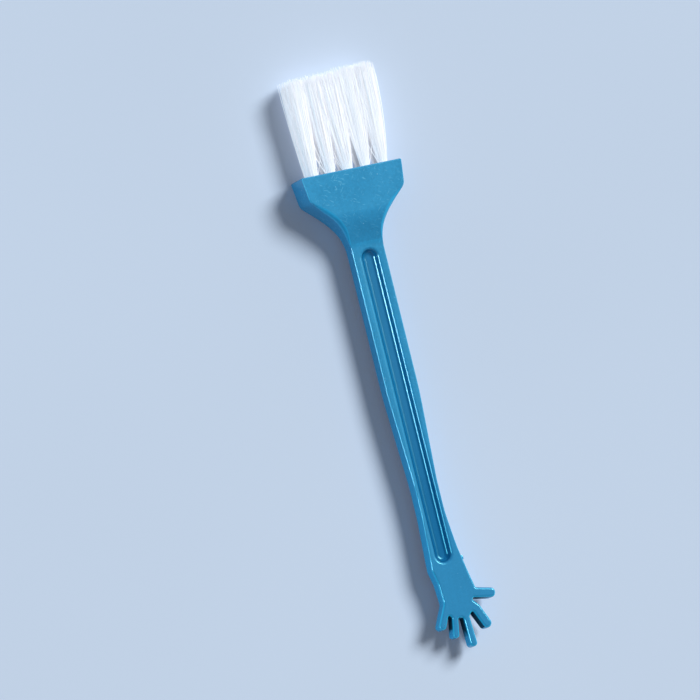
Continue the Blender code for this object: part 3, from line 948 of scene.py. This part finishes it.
class BRUSH_OT_bristles(Operator):
    """Model the ten tufts, each a packed root and its free strands"""

    bl_idname = "brush_maker.bristles"
    bl_label = "Make the Bristles"

    def execute(self, context):
        settings = context.scene.brush_settings
        sizes = settings.bristles
        nylon = white_nylon(settings.finishes)
        for number, (place, x, z) in enumerate(tuft_places(sizes)):
            chance = random.Random(sizes.seed + number)
            set_of_tuft = TUFT_SETS[number % len(TUFT_SETS)]
            strands = draw_strands(f"bristles_{place}", sizes, x, z, chance, set_of_tuft)
            smooth_by_angle(strands, 60)
            root = tuft_root(f"root_{place}", sizes, x, z)
            smooth_by_angle(root)
            tuft = joined([strands, root])
            tuft.data.materials.clear()
            tuft.data.materials.append(nylon)
            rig.ride(tuft, BODY)
            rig.replaces(tuft, f"tuft_{place}")
            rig.slot(tuft, "bristle_nylon")
        return {"FINISHED"}


class BRUSH_OT_anchors(Operator):
    """Give the ten flat wires in the holes their metal finish"""

    bl_idname = "brush_maker.anchors"
    bl_label = "Finish the Anchors"

    def execute(self, context):
        steel = flat_wire(context.scene.brush_settings.finishes)
        anchors = [node for name, node in frame["nodes"].items() if name.startswith("anchor_")]
        if not anchors:
            raise RuntimeError("the packed brush has no anchors")
        for anchor in anchors:
            anchor.data.materials.clear()
            anchor.data.materials.append(steel)
        return {"FINISHED"}


# The finishes


def maths(operation, reflected=False):
    """An operator on values that adds a Math node."""

    def apply(value, other):
        first, second = (other, value) if reflected else (value, other)
        return value.board.get("ShaderNodeMath", {0: first, 1: second}, operation=operation)

    return apply


class Value:
    """A socket that can stand in a sum: each operator adds a Math node."""

    def __init__(self, board, socket):
        self.board = board
        self.socket = socket

    __add__, __radd__ = maths("ADD"), maths("ADD", reflected=True)
    __sub__, __rsub__ = maths("SUBTRACT"), maths("SUBTRACT", reflected=True)
    __mul__, __rmul__ = maths("MULTIPLY"), maths("MULTIPLY", reflected=True)
    __gt__ = maths("GREATER_THAN")


class Board:
    """The node board of one material or of the world."""

    def __init__(self, owner):
        owner.use_nodes = True
        self.owner = owner
        self.tree = owner.node_tree
        self.tree.nodes.clear()

    def node(self, kind, inputs=None, **settings):
        """One node: its type, the values or links of its sockets, and its settings."""
        made = self.tree.nodes.new(kind)
        put(made, settings)
        for name, value in (inputs or {}).items():
            if isinstance(value, Value):
                self.tree.links.new(value.socket, made.inputs[name])
            else:
                made.inputs[name].default_value = value
        return made

    def get(self, kind, inputs=None, output=0, **settings):
        """A node's output, as a value."""
        return Value(self, self.node(kind, inputs, **settings).outputs[output])

    def spots(self, space="Object"):
        """Where a point is on its piece, or in another space."""
        return self.get("ShaderNodeTexCoord", output=space)

    def marks(self, *names):
        """The marks of the piece's points under each name."""
        return [self.get("ShaderNodeAttribute", output="Fac", attribute_name=n) for n in names]

    def mapped(self, spots, **how):
        """A pattern's spots, stretched by Scale or turned by Rotation."""
        return self.get("ShaderNodeMapping", {"Vector": spots, **how})

    def mix(self, factor, first, second):
        """A blend of two colours, each a socket or a plain colour."""
        first, second = [c if isinstance(c, Value) else (*c, 1) for c in (first, second)]
        inputs = {0: factor, 6: first, 7: second}
        return self.get("ShaderNodeMix", inputs, output=2, data_type="RGBA")

    def noise(self, spots, size, detail=2.0):
        """Noise with features of the given size, in mm."""
        inputs = {"Vector": spots, "Scale": 1 / (size * MM), "Detail": detail, "Roughness": 0.5}
        return self.get("ShaderNodeTexNoise", inputs)

    def ramp(self, value, low, high):
        """A soft step of a value between two levels."""
        inputs = {"Value": value, "From Min": low, "From Max": high}
        return self.get("ShaderNodeMapRange", inputs, interpolation_type="SMOOTHSTEP")

    def bump(self, height, depth):
        """A surface that a height makes uneven, by a depth in mm."""
        inputs = {"Height": height, "Distance": depth * MM, "Strength": 1.0}
        return self.get("ShaderNodeBump", inputs)

    def surface(self, base, inputs):
        """Ends a material in its surface, and shows its base colour in plain views."""
        shader = self.get("ShaderNodeBsdfPrincipled", inputs)
        self.node("ShaderNodeOutputMaterial", {"Surface": shader})
        self.owner.diffuse_color = (*base, 1)
        return self.owner


def tinted(colour, factor):
    """A colour made lighter or darker by a factor."""
    return tuple(min(max(channel * factor, 0), 1) for channel in colour)


def blue_plastic(finishes):
    """Moulded blue plastic: flow clouds, a fine grain and sparse pale specks.

    It has painted highlights on its edges, painted light on its head, sides and shoulders, and painted shade in its
    recess, between its fingers and towards its hand.
    """
    board = Board(bpy.data.materials.new("blue_plastic"))
    spots = board.spots()
    base = tuple(finishes.plastic)
    up = board.get("ShaderNodeSeparateXYZ", {0: spots}, output="Y")

    def above(low, high):
        """A soft step up the handle, between two drops in mm from the tuft face."""
        return board.ramp(up, TOP_Y - low * MM, TOP_Y - high * MM)

    head = above(22, 12)
    # Rises towards the hand: there the colour is painted darker as shade, the sides are painted lighter and the coat
    # thins.
    toward_hand = 1 - above(112, 55)
    faded = 1 - above(70, 20)  # the recess's rims shine less further down
    edge, recess_shade, rim, side, gap, soft = board.marks("edge", "recess_shade", "rim", "side", "gap", "soft")

    clouds = board.ramp(board.noise(spots, 9, 3), 0.3, 0.7)
    grain = board.noise(spots, 0.5, 3)
    drawn = board.mapped(spots, Scale=(1, 0.06, 1))
    streaks = board.ramp(board.noise(drawn, 0.55, 2), 0.3, 0.7)
    cells = {"Vector": spots, "Scale": 1 / (1.5 * MM)}
    voronoi = board.node("ShaderNodeTexVoronoi", cells, feature="F1")
    near = Value(board, voronoi.outputs["Distance"])
    pick = board.get("ShaderNodeSeparateColor", {0: Value(board, voronoi.outputs["Color"])})
    specks = (1 - board.ramp(near, 0.06, 0.14)) * (pick > 0.8)  # in one cell in five
    rubbed = board.ramp(board.noise(spots, 6, 2), 0.38, 0.58)

    plain = board.mix(clouds, tinted(base, 0.92), tinted(base, 1.06))
    # painted light: the head is painted a little lighter than the rest of the handle
    pale = board.mix(0.1, tinted(base, 1.09), (0.1, 0.4, 0.6))
    colour = board.mix(head, plain, board.mix(clouds, tinted(base, 0.97), pale))
    layers = [
        (streaks * (0.5 - head * 0.4), tinted(base, 0.84)),
        (board.ramp(grain, 0.45, 0.75) * 0.5, tinted(base, 1.25)),
    ]
    for turn in (0.6, -0.9, 1.9):
        turned = board.mapped(spots, Rotation=(0, 0, turn))
        drawn = board.mapped(turned, Scale=(1, 0.16, 1))
        strokes = board.ramp(board.noise(drawn, 0.42, 1), 0.64, 0.74)
        layers.append((strokes * rubbed * (head * 0.45 + 0.1), (0.12, 0.45, 0.68)))
    layers += [
        (board.ramp(board.noise(spots, 0.9, 2), 0.5, 0.72) * 0.35, tinted(base, 0.8)),
        (specks * 0.6, (0.25, 0.55, 0.75)),
        # painted shade: the handle is painted darker towards the hand
        (toward_hand * 0.6, (0.036, 0.215, 0.425)),
        # painted shade in the recess, darker still towards the hand
        (recess_shade * 0.85, (0.002, 0.150, 0.345)),
        (recess_shade * toward_hand * 0.5, (0.001, 0.085, 0.24)),
        # painted light: the sides are painted lighter, more so towards the hand
        (side * (toward_hand * 0.8 + 0.1), (0.022, 0.40, 0.72)),
        # painted light on the shoulders' rounding
        (soft * 0.85, (0.03, 0.39, 0.70)),
        # painted highlight along the rounded edges
        (edge * 0.9, (0.02, 0.52, 0.84)),
        # painted shade between the fingers
        (gap * 0.94, (0.002, 0.012, 0.035)),
    ]
    for share, blue in layers:
        colour = board.mix(share, colour, blue)

    height = grain * 0.6 + board.noise(spots, 3, 2) * 1.5
    roughness = finishes.plastic_roughness + (grain - 0.5) * 0.14 - edge * 0.06 + gap * 0.6
    gloss = 1 - toward_hand * 0.9 * (1 - edge * 0.5)
    dull_rim = rim * (faded * 0.4 + 0.25)
    coat = gloss * (1 - side * 0.9) * (1 - gap) * (1 - soft * 0.85) * (1 - dull_rim)
    look = {
        "Base Color": colour,
        "Roughness": roughness,
        "Normal": board.bump(height, 0.008),
        "Specular IOR Level": 0.75,
        "Specular Tint": (0.2, 0.9, 1.0, 1),
        "Coat Weight": coat,
        "Coat Roughness": 0.13,
        "Coat IOR": 1.8,
    }
    return board.surface(base, look)


def white_nylon(finishes):
    """White nylon: each strand has its own faint tint, and painted shade darkens it near its root.

    A faint glow, painted light, stands for the light that strands pass on. It is least deep between the rows, where
    painted shade darkens the strands too.
    """
    board = Board(bpy.data.materials.new("white_nylon"))
    spots = board.spots()
    base = tuple(finishes.nylon)
    tone, way, deep = board.marks("tone", "way", "deep")
    colour = board.mix(tone, tinted(base, 0.95), tinted(base, 1.02))
    colour = board.mix(board.ramp(tone, 0.8, 0.95) * 0.4, colour, (0.68, 0.69, 0.77))
    # painted shade near the roots
    colour = board.mix(board.ramp(way, 0.0, 0.25) * -0.15 + 0.15, colour, (0.56, 0.60, 0.66))
    # painted shade deep between the two rows
    colour = board.mix(deep * 0.5, colour, (0.40, 0.46, 0.53))
    look = {
        "Base Color": colour,
        "Roughness": finishes.nylon_roughness + tone * 0.1,
        "Normal": board.bump(board.noise(spots, 0.3), 0.004),
        # painted light: a glow for the light that strands pass on, least deep between the rows
        "Emission Color": board.mix(deep * 0.6, (0.95, 0.97, 1.0), (0.0, 0.0, 0.0)),
        "Emission Strength": 0.27,
    }
    return board.surface(base, look)


def flat_wire(finishes):
    """Drawn flat wire, with faint lines along it."""
    board = Board(bpy.data.materials.new("flat_wire"))
    base = tuple(finishes.steel)
    lines = board.noise(board.mapped(board.spots(), Scale=(0.05, 1, 1)), 0.08, 2)
    look = {
        "Base Color": board.mix(lines, tinted(base, 0.8), tinted(base, 1.1)),
        "Roughness": lines * 0.2 + 0.22,
        "Normal": board.bump(lines, 0.004),
        "Metallic": 1.0,
    }
    return board.surface(base, look)


def pale_floor(finishes):
    """A matt pale floor, faintly uneven, with a glow that softens the shadow on it."""
    board = Board(bpy.data.materials.new("pale_floor"))
    base = tuple(finishes.floor)
    clouds = board.noise(board.spots(), 120, 1)
    look = {
        "Base Color": board.mix(clouds, tinted(base, 0.97), tinted(base, 1.03)),
        "Roughness": 0.75,
        "Specular IOR Level": 0.2,
        "Emission Color": (0.8, 0.86, 1.0, 1),
        "Emission Strength": 0.074,
    }
    return board.surface(base, look)


# The stage


def sun(name, toward_light, strength, degrees, colour):
    """A soft, even lamp that shines from a direction, as wide as an angle."""
    bpy.ops.object.light_add(type="SUN", location=Vector(toward_light).normalized())
    lamp = added(name)
    lamp.rotation_euler = Vector(toward_light).to_track_quat("Z", "Y").to_euler()
    lamp.data.energy = strength
    lamp.data.angle = math.radians(degrees)
    lamp.data.color = colour
    return lamp


def keep_off(lamp, piece):
    """Keeps a lamp's light off one piece, so that no second shadow falls there."""
    unlit = bpy.data.collections.new(lamp.name + "_leaves_out")
    unlit.objects.link(piece)
    lamp.light_linking.receiver_collection = unlit
    unlit.collection_objects[0].light_linking.link_state = "EXCLUDE"


def add_camera():
    """The camera at the photograph's angle: from the left, high above the front."""
    distance, pixels_per_metre, picture, sensor = 3.0, 3520, 700, 36
    turn = Matrix.Identity(3)
    for axis, degrees in (("Y", -21.0), ("X", 4.8), ("Z", -13.84)):
        turn = turn @ Matrix.Rotation(math.radians(degrees), 3, axis)
    target = Vector((-11.85, 4.87, 4.85)) * MM  # the middle of the picture
    back = turn.col[2] * distance
    bpy.ops.object.camera_add(location=target + back, rotation=turn.to_euler())
    camera = added("camera")
    camera.data.sensor_width = sensor
    camera.data.lens = sensor * pixels_per_metre * distance / picture
    camera.data.clip_start, camera.data.clip_end = 0.1, 50
    bpy.context.scene.camera = camera


def add_floor(finishes):
    """A wide floor under the brush."""
    below = (0, 0, -0.02 * MM)
    floor = primitive("floor", bpy.ops.mesh.primitive_plane_add, size=16, location=below)
    floor.data.materials.append(pale_floor(finishes))
    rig.stage(floor)
    return floor


def light_world():
    """Even light from all round, a little brighter near the floor."""
    world = bpy.data.worlds.new("soft_room")
    bpy.context.scene.world = world
    board = Board(world)
    height = board.get("ShaderNodeSeparateXYZ", {0: board.spots("Generated")}, output="Z")
    room = board.mix(board.ramp(height, 0.02, 0.3), (0.44, 0.49, 0.56), (0.115, 0.128, 0.14))
    light = board.get("ShaderNodeBackground", {"Color": room, "Strength": 1.0})
    board.node("ShaderNodeOutputWorld", {"Surface": light})


class BRUSH_OT_stage(Operator):
    """Set up the floor, the light and the camera"""

    bl_idname = "brush_maker.stage"
    bl_label = "Set the Stage"

    def execute(self, context):
        floor = add_floor(context.scene.brush_settings.finishes)
        light_world()
        sun("key_light", (0.62, 0.37, 0.69), strength=3.37, degrees=26, colour=(0.98, 0.99, 0.98))
        cool = (0.44, 0.80, 1.0)
        left_light = sun("left_light", (-0.8, 0.05, 0.58), strength=1.12, degrees=10, colour=cool)
        keep_off(left_light, floor)
        add_camera()
        context.scene.view_settings.view_transform = "Standard"
        return {"FINISHED"}


class BRUSH_PT_panel(Panel):
    """The brush's sizes and the steps that make it"""

    bl_idname = "BRUSH_PT_panel"
    bl_label = "Cleaning Brush"
    bl_space_type = "VIEW_3D"
    bl_region_type = "UI"
    bl_category = "Brush"

    def draw(self, context):
        settings = context.scene.brush_settings
        groups = (settings.handle, settings.bristles, None, settings.finishes)
        for step, group in zip(STEPS, groups):
            box = self.layout.box()
            box.operator(step.bl_idname)
            for name in group.bl_rna.properties.keys() if group else ():
                if name not in {"name", "rna_type"}:
                    box.prop(group, name)


GROUPS = (HandleSizes, BristleSizes, Finishes, BrushSettings)
STEPS = (BRUSH_OT_handle, BRUSH_OT_bristles, BRUSH_OT_anchors, BRUSH_OT_stage)
CLASSES = (*GROUPS, *STEPS, BRUSH_PT_panel)


def register():
    """Adds the brush's settings, steps and panel."""
    for made in CLASSES:
        bpy.utils.register_class(made)
    bpy.types.Scene.brush_settings = PointerProperty(type=BrushSettings)


def unregister():
    """Takes them away again."""
    del bpy.types.Scene.brush_settings
    for made in reversed(CLASSES):
        bpy.utils.unregister_class(made)


def main():
    """Makes the brush and its stage, and writes its size beside the solids' size."""
    register()
    bpy.ops.brush_maker.handle()
    bpy.ops.brush_maker.bristles()
    bpy.ops.brush_maker.anchors()
    bpy.ops.brush_maker.stage()
    sizes = {"cad": [list(corner) for corner in CAD_BOX], "visual": [list(corner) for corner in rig.bounds()]}
    with open("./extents.json", "w") as file:
        json.dump(sizes, file)


if __name__ == "__main__":
    main()
